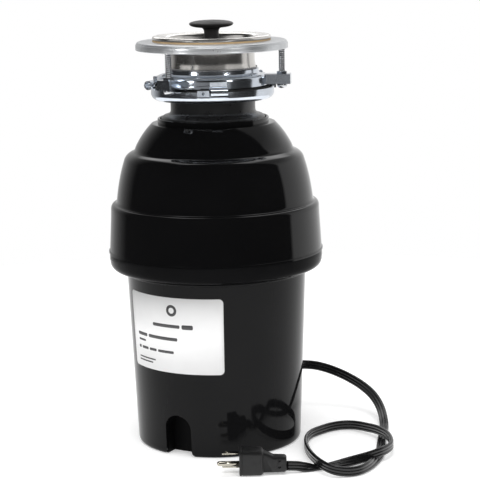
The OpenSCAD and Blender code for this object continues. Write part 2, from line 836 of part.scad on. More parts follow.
module plug_body() {
    face_w = 20.5;
    face_h = 24.4;
    block_l = 22;
    taper_l = 10;
    grip_l = 12;
    grip_h = 16;
    grip_drop = 2.4;
    color("#2b2c2e") translate([plug_x, plug_y, plug_z]) {
        translate([0, -face_w / 2, -face_h / 2]) cube([block_l, face_w, face_h]);
        translate([0, 6.5, 0]) rotate([90, 0, 0]) linear_extrude(height = 13) polygon([
            [block_l - 1, -face_h / 2], [block_l, -face_h / 2],
            [block_l + taper_l, -grip_h / 2 - grip_drop], [block_l + taper_l, grip_h / 2 - grip_drop],
            [block_l, face_h / 2], [block_l - 1, face_h / 2]
        ]);
        translate([block_l + taper_l - 1, -6, -grip_h / 2 - grip_drop])
            cube([grip_l + 1 - eps, 12, grip_h]);
    }
}

// Flat blades 12.7 apart, and a round pin 11.9 in front of them
module plug_blades() {
    color("#b8a06a") for (side = [-1, 1])
        translate([plug_x - 15.9 - eps, plug_y + 2, plug_z + side * 6.35 - 0.75]) cube([15.9, 6.35, 1.5]);
}

module plug_ground_pin() {
    pin_l = 20.6;
    color("#b8a06a") translate([plug_x - pin_l - eps, plug_y - 6.7, plug_z]) rotate([0, 90, 0])
        cylinder(r = 2.4, h = pin_l, $fn = 48);
}

stopper();
stopper_seal();
splash_guard();
sink_flange();
fibre_gasket();
backup_ring();
mounting_bolts();
snap_ring();
upper_mounting_ring();
lock_ring();
mount_cushion();
hopper();
inlet_plug();
hopper_bolts();
upper_shell();
belly_ring();
lower_shell();
rating_label();
upper_insulation();
lower_insulation();
grind_ring();
turntable();
turntable_nut();
impeller_1();
impeller_2();
impeller_pins();
slinger();
shaft_seal();
drain_chamber();
shaft();
upper_bearing();
lower_bearing();
upper_end_bell();
lower_end_bell();
motor_can();
field_magnets();
armature_core();
armature_windings();
commutator();
brush_plate();
brush_holders();
brushes();
brush_springs();
through_bolts();
overload_switch();
reset_button();
base_cover();
base_screws();
terminal_block();
lead_wires();
strain_relief();
power_cord();
plug_body();
plug_blades();
plug_ground_pin();
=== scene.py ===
"""Looks for the kitchen garbage disposal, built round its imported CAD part. Metres."""

import json
import math

import bmesh
import bpy
from mathutils import Matrix, Vector


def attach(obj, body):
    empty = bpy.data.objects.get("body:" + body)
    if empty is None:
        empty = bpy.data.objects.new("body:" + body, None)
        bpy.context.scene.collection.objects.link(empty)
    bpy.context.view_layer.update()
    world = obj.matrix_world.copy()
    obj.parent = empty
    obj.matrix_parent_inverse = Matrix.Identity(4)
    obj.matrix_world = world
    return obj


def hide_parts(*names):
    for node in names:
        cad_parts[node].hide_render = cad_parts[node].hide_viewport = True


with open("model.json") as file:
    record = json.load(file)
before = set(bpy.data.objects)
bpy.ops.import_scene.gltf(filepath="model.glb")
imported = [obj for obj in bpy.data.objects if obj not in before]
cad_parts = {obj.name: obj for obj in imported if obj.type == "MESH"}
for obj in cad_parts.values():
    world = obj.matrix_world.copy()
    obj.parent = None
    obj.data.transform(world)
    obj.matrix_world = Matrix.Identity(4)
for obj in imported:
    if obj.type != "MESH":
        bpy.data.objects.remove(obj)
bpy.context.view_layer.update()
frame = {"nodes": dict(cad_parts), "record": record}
NODES = frame["nodes"]
MM = 0.001

# ---------------------------------------------------------------- camera

# The image is 480 x 500 pixels; the lens is given in pixels of its long side
LONG_SIDE_PX = 500
LENS_PX = 1760
SENSOR_MM = 36
CAMERA_AT = (0.0235, -1.7, 0.51)
LOOKS_DOWN_DEG = 10.75
ROLL_DEG = -1.1
camera = bpy.data.objects.new("camera", bpy.data.cameras.new("camera"))
bpy.context.collection.objects.link(camera)
camera.data.sensor_width = SENSOR_MM
camera.data.lens = SENSOR_MM * LENS_PX / LONG_SIDE_PX
camera.data.clip_start = 0.05
camera.data.clip_end = 50
camera.rotation_mode = "QUATERNION"
camera.location = CAMERA_AT
camera.rotation_quaternion = (
    Matrix.Rotation(math.radians(90 - LOOKS_DOWN_DEG), 4, "X")
    @ Matrix.Rotation(math.radians(ROLL_DEG), 4, "Z")).to_quaternion()
bpy.context.scene.camera = camera

# ---------------------------------------------------------------- geometry helpers


def heading(phi, r, z):
    """A point at direction phi (degrees, 0 is the front, positive towards +X), in millimetres."""
    a = math.radians(phi)
    return Vector((r * math.sin(a), -r * math.cos(a), z)) * MM


def add_mesh(name, bm, smooth=True):
    """A new object from the bmesh, which is freed."""
    bmesh.ops.recalc_face_normals(bm, faces=bm.faces)
    mesh = bpy.data.meshes.new(name)
    bm.to_mesh(mesh)
    bm.free()
    for face in mesh.polygons:
        face.use_smooth = smooth
    piece = bpy.data.objects.new(name, mesh)
    bpy.context.collection.objects.link(piece)
    return piece


def finish_piece(piece, body, look, replaced=()):
    """Rides on its body, takes its material, and hides the CAD nodes it stands for."""
    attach(piece, body)
    if replaced:
        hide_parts(*replaced)
    piece.data.materials.clear()
    piece.data.materials.append(look)


def bevelled(piece, width, segments=2, angle=35):
    """Rounds the edges sharper than the angle; the width is in millimetres."""
    mod = piece.modifiers.new("edges", "BEVEL")
    mod.width = width * MM
    mod.segments = segments
    mod.limit_method = "ANGLE"
    mod.angle_limit = math.radians(angle)


def smooth_path(points, step):
    """A Catmull-Rom curve through the points, as points about step apart.

    The first three values of a point are its place; any others are carried along.
    """
    pts = [list(p) for p in points]
    first = [2 * a - b for a, b in zip(pts[0], pts[1])]
    last = [2 * a - b for a, b in zip(pts[-1], pts[-2])]
    pts = [first] + pts + [last]
    out = []
    for i in range(1, len(pts) - 2):
        p0, p1, p2, p3 = pts[i - 1:i + 3]
        n = max(2, round(math.dist(p1[:3], p2[:3]) / step))
        for k in range(n):
            t = k / n
            out.append([
                0.5 * (2 * b + (c - a) * t + (2 * a - 5 * b + 4 * c - d) * t * t
                       + (3 * b - a - 3 * c + d) * t ** 3)
                for a, b, c, d in zip(p0, p1, p2, p3)])
    out.append(pts[-2])
    return out


def skinned(name, bm, rings):
    """A closed skin over rings of vertices that all have the same number."""
    count = len(rings[0])
    for a, b in zip(rings, rings[1:]):
        for k in range(count):
            m = (k + 1) % count
            bm.faces.new((a[k], a[m], b[m], b[k]))
    bm.faces.new(rings[0])
    bm.faces.new(rings[-1])
    return add_mesh(name, bm)


def swept(name, path, outline, rolls):
    """The outline (u across, v up, in metres) carried along the path, rolled by degrees."""
    bm = bmesh.new()
    rings = []
    last = len(path) - 1
    for i, point in enumerate(path):
        ahead = (Vector(path[min(i + 1, last)]) - Vector(path[max(i - 1, 0)])).normalized()
        side = ahead.cross(Vector((0, 0, 1))).normalized()
        up = side.cross(ahead)
        roll = math.radians(rolls[i])
        u_axis = side * math.cos(roll) + up * math.sin(roll)
        v_axis = up * math.cos(roll) - side * math.sin(roll)
        centre = Vector(point)
        rings.append([bm.verts.new(centre + (u_axis * u + v_axis * v)) for u, v in outline])
    return skinned(name, bm, rings)


def lathe(name, outline, segments, about=None, closed=True):
    """The outline (r, z, in millimetres) turned about the Z axis, then placed by about.

    A closed outline is a loop; an open one starts and ends on the axis.
    """
    bm = bmesh.new()
    about = about or Matrix.Identity(4)
    rings = []
    for r, z in outline:
        if r == 0:
            rings.append([bm.verts.new(about @ Vector((0, 0, z * MM)))])
            continue
        rings.append([
            bm.verts.new(about @ (Vector((r * math.cos(a), r * math.sin(a), z)) * MM))
            for a in (2 * math.pi * i / segments for i in range(segments))])
    for a, b in zip(rings, rings[1:] + rings[:1] if closed else rings[1:]):
        for i in range(segments):
            j = (i + 1) % segments
            corners = [a[i % len(a)], a[j % len(a)], b[j % len(b)], b[i % len(b)]]
            distinct = list(dict.fromkeys(corners))
            if len(distinct) > 2:
                bm.faces.new(distinct)
    return add_mesh(name, bm)


def carved(piece, *cutters):
    """Cuts the cutters out of the piece and keeps only the result."""
    for cutter in cutters:
        mod = piece.modifiers.new("cut", "BOOLEAN")
        mod.operation = "DIFFERENCE"
        mod.solver = "EXACT"
        mod.object = cutter
    bpy.context.view_layer.update()
    result = piece.evaluated_get(bpy.context.evaluated_depsgraph_get())
    cut = bpy.data.meshes.new_from_object(result)
    piece.modifiers.clear()
    piece.data = cut
    for cutter in cutters:
        bpy.data.objects.remove(cutter)
    return piece


def joined(name, *pieces):
    """One piece from several separate closed meshes."""
    bm = bmesh.new()
    for piece in pieces:
        bm.from_mesh(piece.data)
        bpy.data.objects.remove(piece)
    return add_mesh(name, bm)


def block(name, low, high):
    """A box between two corners, in millimetres."""
    bm = bmesh.new()
    made = bmesh.ops.create_cube(bm, size=1)
    for vert in made["verts"]:
        vert.co = Vector([(a if c < 0 else b) * MM for c, a, b in zip(vert.co, low, high)])
    return add_mesh(name, bm, smooth=False)


def pointing(at, direction):
    """Carries +Z onto the direction, standing at the point (both in metres)."""
    return Matrix.Translation(at) @ Vector(direction).to_track_quat("Z", "Y").to_matrix().to_4x4()


def rounded_box(half_u, low_v, high_v, r, steps=6):
    """Outline of a rectangle with rounded corners; all sizes are in millimetres."""
    points = []
    for cu, cv, start in ((half_u - r, high_v - r, 0), (r - half_u, high_v - r, 90),
                          (r - half_u, low_v + r, 180), (half_u - r, low_v + r, 270)):
        for k in range(steps + 1):
            a = math.radians(start + 90 * k / steps)
            points.append((cu + r * math.cos(a), cv + r * math.sin(a)))
    return points


def lofted(name, rings):
    """A closed skin over rings of points, in metres, all with the same number of points."""
    bm = bmesh.new()
    return skinned(name, bm, [[bm.verts.new(p) for p in ring] for ring in rings])


MERGE_DISTANCE = 0.000004
SMOOTH_UP_TO_DEG = 32


def soft_edges_group():
    """A node group that joins split vertices and shades smoothly, up to an edge angle."""
    group = bpy.data.node_groups.new("soft_edges", "GeometryNodeTree")
    group.interface.new_socket("Geometry", in_out="INPUT", socket_type="NodeSocketGeometry")
    group.interface.new_socket("Geometry", in_out="OUTPUT", socket_type="NodeSocketGeometry")
    new = group.nodes.new
    start, end = new("NodeGroupInput"), new("NodeGroupOutput")
    merge = new("GeometryNodeMergeByDistance")
    faces, edges = new("GeometryNodeSetShadeSmooth"), new("GeometryNodeSetShadeSmooth")
    merge.inputs["Distance"].default_value = MERGE_DISTANCE
    drop = new("GeometryNodeRemoveAttribute")
    drop.inputs["Name"].default_value = "custom_normal"
    edges.domain = "EDGE"
    edges.inputs["Shade Smooth"].default_value = False
    steep, edge_angle = new("FunctionNodeCompare"), new("GeometryNodeInputMeshEdgeAngle")
    steep.operation = "GREATER_THAN"
    steep.inputs[1].default_value = math.radians(SMOOTH_UP_TO_DEG)
    for a, b in (
            (start.outputs[0], merge.inputs["Geometry"]), (merge.outputs[0], drop.inputs[0]),
            (drop.outputs[0], faces.inputs["Geometry"]),
            (faces.outputs[0], edges.inputs["Geometry"]),
            (edge_angle.outputs["Unsigned Angle"], steep.inputs[0]),
            (steep.outputs[0], edges.inputs["Selection"]), (edges.outputs[0], end.inputs[0])):
        group.links.new(a, b)
    return group


SOFT_EDGES = soft_edges_group()


def weighted_normals(piece):
    """Lets the large faces set the shading, so that narrow bevels don't bend it."""
    piece.modifiers.new("weighted", "WEIGHTED_NORMAL").keep_sharp = True


def softened(piece):
    """Even shading over a faceted surface, with its real edges kept."""
    piece.modifiers.new("soft_edges", "NODES").node_group = SOFT_EDGES
    weighted_normals(piece)


# ---------------------------------------------------------------- materials
# Colours are linear, noise scales are in waves for each metre, and bump depths in millimetres.


class Look:
    """Builds one node-based material, working in the object's own coordinates."""

    def __init__(self, name, metallic, roughness, **sockets):
        self.mat = bpy.data.materials.new(name)
        self.mat.use_nodes = True
        self.tree = self.mat.node_tree
        self.shader = self.tree.nodes["Principled BSDF"]
        self.shader.inputs["Metallic"].default_value = metallic
        self.shader.inputs["Roughness"].default_value = roughness
        for socket, value in sockets.items():
            self.shader.inputs[socket.replace("_", " ")].default_value = value
        self.coords = self.tree.nodes.new("ShaderNodeTexCoord").outputs["Object"]
        self.bump_in = None

    def node(self, kind, inputs=None, **attributes):
        made = self.tree.nodes.new(kind)
        for key, value in attributes.items():
            setattr(made, key, value)
        for key, value in (inputs or {}).items():
            if hasattr(value, "is_output"):
                self.tree.links.new(value, made.inputs[key])
            else:
                made.inputs[key].default_value = value
        return made

    def noise(self, scale, detail=4, stretch=None, roughness=0.55):
        """A 0..1 value with its middle at 0.5."""
        vector = self.coords
        if stretch:
            vector = self.node("ShaderNodeMapping", {"Vector": vector, "Scale": stretch}).outputs[0]
        return self.node("ShaderNodeTexNoise", {
            "Vector": vector, "Scale": scale, "Detail": detail, "Roughness": roughness}).outputs[0]

    def spread(self, value, low, high, start=0.3, end=0.7):
        """Maps start..end to low..high."""
        return self.node("ShaderNodeMapRange", {
            "Value": value, "From Min": start, "From Max": end,
            "To Min": low, "To Max": high}).outputs[0]

    def mix(self, factor, a, b):
        """The colour a where the factor is 0 and b where it is 1."""
        made = self.node("ShaderNodeMix", data_type="RGBA")
        for index, value in ((0, factor), (6, a), (7, b)):
            if hasattr(value, "is_output"):
                self.tree.links.new(value, made.inputs[index])
            else:
                made.inputs[index].default_value = (*value, 1)
        return made.outputs[2]

    def color(self, value):
        self.tree.links.new(value, self.shader.inputs["Base Color"])

    def rough(self, value):
        self.tree.links.new(value, self.shader.inputs["Roughness"])

    def bump(self, height, strength, distance_mm):
        """Each call adds a layer on top of the one before."""
        inputs = {"Height": height, "Strength": strength, "Distance": distance_mm * MM}
        if self.bump_in:
            inputs["Normal"] = self.bump_in
        self.bump_in = self.node("ShaderNodeBump", inputs).outputs[0]
        self.tree.links.new(self.bump_in, self.shader.inputs["Normal"])


def times(color, factor):
    """The colour made darker or lighter."""
    return tuple(min(1, c * factor) for c in color)


def moulded(name, color, roughness, grain=900, depth=0.03, variation=0.25, spec=0.5):
    """Moulded plastic or rubber: a fine grain, faint colour clouding and uneven gloss."""
    look = Look(name, 0.0, roughness, Specular_IOR_Level=spec)
    cloud = look.spread(look.noise(22, 5), 0, 1)
    look.color(look.mix(cloud, times(color, 1 - variation), times(color, 1 + variation)))
    look.rough(look.spread(look.noise(140, 6), roughness * 0.85, min(1, roughness * 1.18)))
    look.bump(look.noise(grain, 3), 0.35, depth)
    return look.mat


def gloss_shell(name, color, roughness, spec):
    """Deep gloss moulded plastic: hair scratches, dust specks and a slight moulding wave."""
    look = Look(name, 0.0, roughness, Specular_IOR_Level=spec)
    cloud = look.spread(look.noise(9, 3), 0, 1)
    look.color(look.mix(cloud, times(color, 0.8), times(color, 1.25)))
    scratches = look.noise(260, 2, stretch=(1, 1, 0.08))
    look.rough(look.spread(scratches, roughness * 0.8, roughness * 1.6, 0.45, 0.75))
    look.bump(look.noise(11, 2), 0.10, 0.25)
    look.bump(look.noise(420, 3), 0.10, 0.012)
    return look.mat


def metal(name, color, roughness, stretch=(1, 1, 1), scale=180, depth=0.02, tint=0.12,
          metallic=1.0):
    """Rolled, plated or turned metal: a directional grain, tarnish and uneven gloss."""
    look = Look(name, metallic, roughness)
    grain = look.noise(scale, 6, stretch=stretch, roughness=0.7)
    tarnish = look.spread(look.noise(26, 5), 0, 1)
    base = look.mix(tarnish, times(color, 1 - tint), color)
    look.color(look.mix(look.spread(grain, 0, 0.5), base, times(color, 1 - 2 * tint)))
    look.rough(look.spread(grain, roughness * 0.75, min(1, roughness * 1.35)))
    look.bump(grain, 0.3, depth)
    return look.mat


def threaded_metal_painted_shade(name, color, roughness, groove_painted_shade_color):
    """Metal with painted shade in its thread: darker where the groove attribute is high."""
    look = Look(name, 1.0, roughness)
    grain = look.noise(180, 6, roughness=0.7)
    groove = look.node("ShaderNodeAttribute", attribute_name="groove").outputs["Fac"]
    crest = look.mix(look.spread(grain, 0, 0.5), color, times(color, 0.76))
    # Painted shade: the thread's grooves take a near-black colour and the crests the metal's own
    look.color(look.mix(look.spread(groove, 0, 1, 0.3, 0.8), crest, groove_painted_shade_color))
    look.rough(look.spread(grain, roughness * 0.75, roughness * 1.35))
    look.bump(grain, 0.3, 0.02)
    return look.mat


LOOKS = {
    "shell_black": gloss_shell("shell_black", (0.0028, 0.0028, 0.003), 0.06, 0.33),
    "neck_black": moulded("neck_black", (0.012, 0.012, 0.0125), 0.30, grain=500, depth=0.05),
    "rubber_black": moulded("rubber_black", (0.02, 0.02, 0.0205), 0.62),
    "stopper_plastic": moulded("stopper_plastic", (0.022, 0.021, 0.021), 0.42, grain=1400,
                               depth=0.04),
    "polished_steel": metal("polished_steel", (0.74, 0.72, 0.69), 0.2, stretch=(1, 1, 0.03),
                            scale=900, depth=0.0008, tint=0.16, metallic=0.985),
    "fibre": moulded("fibre", (0.50, 0.36, 0.21), 0.85, grain=700, depth=0.12),
    "grey_zinc": metal("grey_zinc", (0.60, 0.615, 0.63), 0.33, scale=140, metallic=0.85),
    "bright_zinc": metal("bright_zinc", (0.70, 0.75, 0.82), 0.14, scale=60, depth=0.08, tint=0.14),
    "spring_steel": metal("spring_steel", (0.34, 0.34, 0.35), 0.3),
    # The bolts' thread grooves carry painted shade
    "bolt_steel": threaded_metal_painted_shade("bolt_steel", (0.66, 0.67, 0.69), 0.2, (0.03, 0.03, 0.032)),
    "label_white": moulded("label_white", (0.80, 0.80, 0.80), 0.38, grain=300, depth=0.01,
                           variation=0.03),
    "foam_grey": moulded("foam_grey", (0.06, 0.06, 0.065), 0.95, grain=260, depth=0.5),
    "stainless": metal("stainless", (0.62, 0.61, 0.60), 0.30, scale=240),
    "cast_grey": metal("cast_grey", (0.33, 0.34, 0.35), 0.5, scale=700, depth=0.09,
                       metallic=0.8),
    "shaft_steel": metal("shaft_steel", (0.52, 0.53, 0.54), 0.22, stretch=(1, 1, 0.04)),
    "bearing_steel": metal("bearing_steel", (0.62, 0.63, 0.64), 0.18, stretch=(1, 1, 0.1)),
    "can_grey": moulded("can_grey", (0.09, 0.10, 0.11), 0.42, grain=600, depth=0.04),
    "ferrite": moulded("ferrite", (0.05, 0.05, 0.055), 0.7, grain=500, depth=0.08),
    "core_steel": metal("core_steel", (0.26, 0.27, 0.28), 0.45, stretch=(0.05, 0.05, 1),
                        scale=1400, depth=0.2),
    "copper": metal("copper", (0.72, 0.28, 0.11), 0.30, stretch=(0.1, 0.1, 1), scale=900,
                    depth=0.15),
    "phenolic": moulded("phenolic", (0.20, 0.09, 0.035), 0.5, grain=400, depth=0.05),
    "brass": metal("brass", (0.72, 0.62, 0.40), 0.24, scale=220),
    "nickel": metal("nickel", (0.52, 0.49, 0.42), 0.16, stretch=(0.05, 1, 1), scale=500,
                    depth=0.01),
    "ink_grey": moulded("ink_grey", (0.07, 0.07, 0.072), 0.6, depth=0.005, variation=0.3),
    "carbon": moulded("carbon", (0.022, 0.022, 0.022), 0.75),
    "coil_steel": metal("coil_steel", (0.60, 0.61, 0.62), 0.25),
    "switch_black": moulded("switch_black", (0.02, 0.02, 0.022), 0.5),
    "button_red": moulded("button_red", (0.028, 0.003, 0.0025), 0.28, grain=300, depth=0.01,
                          variation=0.12),
    "base_black": moulded("base_black", (0.0028, 0.0028, 0.003), 0.5, spec=0.06),
    "terminal_cream": moulded("terminal_cream", (0.68, 0.66, 0.56), 0.5),
    "wire_black": moulded("wire_black", (0.03, 0.03, 0.032), 0.5),
    "cord_black": moulded("cord_black", (0.0042, 0.0042, 0.0045), 0.24, grain=700, depth=0.015),
    "plug_black": moulded("plug_black", (0.0055, 0.0055, 0.0058), 0.5, grain=1500, depth=0.05),
}

# These two mirror the pale floor, and the real ones do so less than the upper shell does
LOWER_SHELL = gloss_shell("lower_shell_black", (0.0045, 0.0045, 0.0048), 0.07, 0.12)
BELLY_RING = gloss_shell("belly_ring_black", (0.0035, 0.0035, 0.0038), 0.07, 0.03)

slots = {row["node"]: row["material_slot"] for row in frame["record"]["subparts"]}
for name, node in NODES.items():
    node.data.materials.clear()
    node.data.materials.append(LOOKS[slots[name]])
    softened(node)

# ---------------------------------------------------------------- cord

# A flat cord's width and thickness, in millimetres, and the step between its rings, in metres
CORD_W = 9.4
CORD_T = 3.8
CORD_RING_STEP = 0.0025

# Where it leaves the strain relief's tip: direction, distance from the axis and height
CORD_PHI = 145
CORD_TIP_R = 107
CORD_Z = 43
STRAIGHT_OUT = 11.5

# The route in millimetres, each point with the cord's roll in degrees: 90 stands it on edge
tip = heading(CORD_PHI, CORD_TIP_R, CORD_Z) / MM
beyond = heading(CORD_PHI, CORD_TIP_R + STRAIGHT_OUT, CORD_Z) / MM
CORD_ROUTE = [
    [*tip, -90], [*beyond, -88],
    [77, 102.4, 43.4, -82], [88.5, 104, 43.1, -70], [101.4, 102, 42.3, -62],
    [114.8, 98, 39.4, -57], [127.1, 91.5, 35.7, -54], [137.1, 84, 32.1, -52],
    [146.8, 74, 28, -50], [155.7, 61, 22.9, -47], [161.3, 46.5, 17.8, -43],
    [164.3, 31, 12.6, -37], [165, 14, 8.1, -28], [164.5, 0.8, 3.6, -16], [161.8, -19, 2.3, -5],
    [158.8, -41.8, 2.1, 0], [156.1, -64.8, 2.1, 0], [153.8, -81.1, 2.2, 4],
    [150.2, -97.6, 2.9, 26], [143.8, -118.1, 4.4, 64], [138.2, -130.3, 4.9, 84],
    [130.5, -140.3, 4.9, 90], [121.9, -144.8, 4.9, 90], [111.6, -147, 6.2, 90],
    [102.5, -144.9, 8.2, 90], [94.8, -134.1, 9.5, 90], [88.5, -113.7, 9.3, 90],
    [84.7, -85.7, 7.5, 90], [83.9, -58, 5.5, 90], [85.8, -36.2, 4.9, 90],
    [90.8, -21.6, 4.9, 90], [99.8, -10.1, 4.9, 90], [111.3, 0.7, 4.9, 90],
    [123.7, 6.2, 4.9, 90], [135.6, 3.3, 5.4, 90], [146.7, -9.9, 6.9, 90],
    [156.7, -27.7, 8.9, 90], [164.2, -48.2, 9.4, 90], [165.6, -74.4, 9.3, 90],
    [160.7, -89.6, 9.4, 90], [152.2, -100.9, 9.4, 90], [142.4, -105.8, 7.4, 82],
    [131.7, -110.3, 5.9, 72], [121, -114.5, 4.6, 55], [110.5, -117.4, 3.2, 30],
    [100.1, -119.5, 2.2, 5], [91.6, -122, 2.2, 5], [84.4, -125, 3.4, 40],
    [78.3, -128, 4.9, 75], [73, -130, 6.6, 88], [63, -130, 7, 90],
]

# Three insulated conductors side by side, with a groove between each two
HALF_STEPS = 28
lobe_r = CORD_T / 2
lobe_x = CORD_W / 2 - lobe_r
cord_outline = []
for u in [CORD_W / 2 * math.cos(math.pi * k / HALF_STEPS) for k in range(HALF_STEPS)]:
    height = max(math.sqrt(max(0, lobe_r ** 2 - (u - c) ** 2)) for c in (-lobe_x, 0, lobe_x))
    cord_outline.append((u, height))
cord_outline += [(-u, -v) for u, v in cord_outline]
cord_outline = [(u * MM, v * MM) for u, v in cord_outline]

cord_rings = smooth_path(
    [[x * MM, y * MM, z * MM, roll] for x, y, z, roll in CORD_ROUTE], CORD_RING_STEP)
cord_path = [ring[:3] for ring in cord_rings]
cord = swept("power_cord_ribbed", cord_path, cord_outline, [ring[3] for ring in cord_rings])
finish_piece(cord, "root", LOOKS["cord_black"], ["power_cord"])

# ---------------------------------------------------------------- glossy shells
# Outlines are points of radius and height, in millimetres, as in part.scad.


def bend(p, c, q, n=10):
    """A curve from p to q, drawn towards c, as n + 1 points."""
    return [
        tuple((1 - t) ** 2 * a + 2 * t * (1 - t) * b + t * t * d for a, b, d in zip(p, c, q))
        for t in (k / n for k in range(n + 1))]


def supported(outline, gap=1.2):
    """Adds a point close to both ends of each long straight stretch, to keep its shading even."""
    out = []
    for a, b in zip(outline, outline[1:] + outline[:1]):
        out.append(a)
        length = math.dist(a, b)
        if length > 4 * gap:
            for t in (gap / length, 1 - gap / length):
                out.append((a[0] + (b[0] - a[0]) * t, a[1] + (b[1] - a[1]) * t))
    return out


def gloss_turned(name, outline, look, node, *cutters):
    """A turned shell with its openings cut, in place of its CAD node."""
    shell = carved(lathe(name, supported(outline), segments=240), *cutters)
    finish_piece(shell, "root", look, [node])
    softened(shell)


OUTLET_Z = 194
OUTLET_CUT_R = 26
OUTLET_CUT_HALF = 16


def outlet_cut():
    """The room for the drain outlet and its flange: a slot with round ends, through the back."""
    ends = [(side * OUTLET_CUT_HALF + OUTLET_CUT_R * math.cos(math.radians(a)),
             OUTLET_Z + OUTLET_CUT_R * math.sin(math.radians(a)))
            for side, start in ((1, -90), (-1, 90)) for a in range(start, start + 181, 6)]
    return lofted("outlet_cut", [[Vector((x, y, z)) * MM for x, z in ends] for y in (60, 120)])


def bar_cut(at, direction, r, length):
    """A round bar to cut with, from the point (in metres) along the direction."""
    return lathe("bar_cut", [(0, 0), (r, 0), (r, length), (0, length)], segments=64, closed=False,
                 about=pointing(at, direction))


# The upper shell from its seam up: bead, wall, shoulder, dome, second shoulder, top and collar.
# Its inside is every fourth point of the outside above the wall, moved in by the wall's thickness.
upper_outside = (
    [(104.8, 189.5)] + bend((104.8, 190.3), (104.8, 191.4), (104.1, 191.5), 6)
    + bend((104, 191.5), (103.8, 191.55), (103.78, 192.6), 4) + [(101.9, 224)]
    + bend((101.6, 232.6), (101.2, 236.4), (98.2, 237))
    + bend((97.6, 237.2), (96.1, 237.8), (95.7, 240.2))
    + bend((95.3, 243.5), (92.8, 263), (88, 277.5), 16)
    + bend((87.6, 278.8), (86.2, 284.2), (79.8, 286.8))
    + bend((79, 287.2), (77, 288.2), (76.4, 290.6))
    + bend((75.6, 292.6), (69.4, 304.8), (60.6, 313.6), 16))
upper_outline = (
    upper_outside + bend((60, 314.2), (58.8, 314.5), (57, 314.5), 5) + [(54, 314.6)]
    + bend((54, 318), (54, 319.4), (52.8, 319.4), 6) + [(51.7, 319), (51.7, 312.4)]
    + [(r - 2.2, z - 2) for r, z in upper_outside[:14:-4]] + [(101.4, 192), (101.6, 189.5)])
INLET_Z = 262
INLET_CUT_R = 13.6
gloss_turned(
    "upper_shell_gloss", upper_outline, LOOKS["shell_black"], "upper_shell", outlet_cut(),
    bar_cut(Vector((0, 70, INLET_Z)) * MM, (0, 1, 0), INLET_CUT_R, 50))

belly_outline = (
    [(88.1, 172.2)] + bend((95.5, 172.6), (104, 173.4), (104, 181.7), 16)
    + [(104.1, 189.3), (101.9, 189.3)] + bend((101.8, 181.7), (101.4, 175.2), (95, 174.8), 8)
    + [(86.5, 174.8), (86.5, 172.2)])
gloss_turned("belly_ring_gloss", belly_outline, BELLY_RING, "belly_ring", outlet_cut())

# The notch's direction, width, height and the radius of its flared feet
NOTCH_PHI, NOTCH_W, NOTCH_H, NOTCH_FOOT = -29, 28, 40.5, 5


def arc(x, y, r, a, b, n):
    """n + 1 points round (x, y), from angle a to angle b."""
    return [(x + r * math.cos(math.radians(a + (b - a) * k / n)),
             y + r * math.sin(math.radians(a + (b - a) * k / n))) for k in range(n + 1)]


def notch_cut():
    """The arched notch in the lower shell's foot, with its lower corners flared."""
    half = NOTCH_W / 2
    outline = (
        arc(0, NOTCH_H - half, half, 0, 180, 32)
        + arc(-half - NOTCH_FOOT, NOTCH_FOOT, NOTCH_FOOT, 0, -90, 8)
        + [(-half - NOTCH_FOOT, -1), (half + NOTCH_FOOT, -1)]
        + arc(half + NOTCH_FOOT, NOTCH_FOOT, NOTCH_FOOT, 270, 180, 8))
    side = heading(NOTCH_PHI + 90, 1, 0)
    return lofted("notch_cut", [
        [heading(NOTCH_PHI, r, z) + side * u for u, z in outline] for r in (64, 95)])


# The lower shell's straight flank, which the label lies on: radius and height at foot and top
FLANK_FOOT = (81, 4.5)
FLANK_TOP = (87.6, 168.3)
RELIEF_HOLE_R = 7.2
lower_outline = (
    bend((78, 0), (80.9, 0), FLANK_FOOT) + [FLANK_TOP]
    + bend((87.7, 168.6), (89.5, 168.8), (89.5, 170.4), 6)
    + bend((89.5, 170.6), (89.4, 172), (87.8, 172), 6) + [(85.4, 172), (78.8, 5), (77.4, 0)])
gloss_turned(
    "lower_shell_gloss", lower_outline, LOWER_SHELL, "lower_shell", notch_cut(),
    bar_cut(heading(CORD_PHI, 70, CORD_Z), heading(CORD_PHI, 1, 0), RELIEF_HOLE_R, 20))

# ---------------------------------------------------------------- rating label

# Heights and corner in millimetres, directions in degrees
LABEL_LOW, LABEL_HIGH = 83, 157
LABEL_FROM, LABEL_TO = -69, 4.5
LABEL_CORNER = 4.2

# How far the sheet's back and face, and the print's face, stand off the shell
SHEET_BACK, SHEET_FACE, PRINT_FACE = 0.05, 0.3, 0.36


def shell_r(z):
    """Outside radius of the lower shell's flank at height z."""
    (r_foot, z_foot), (r_top, z_top) = FLANK_FOOT, FLANK_TOP
    return r_foot + (z - z_foot) * (r_top - r_foot) / (z_top - z_foot)


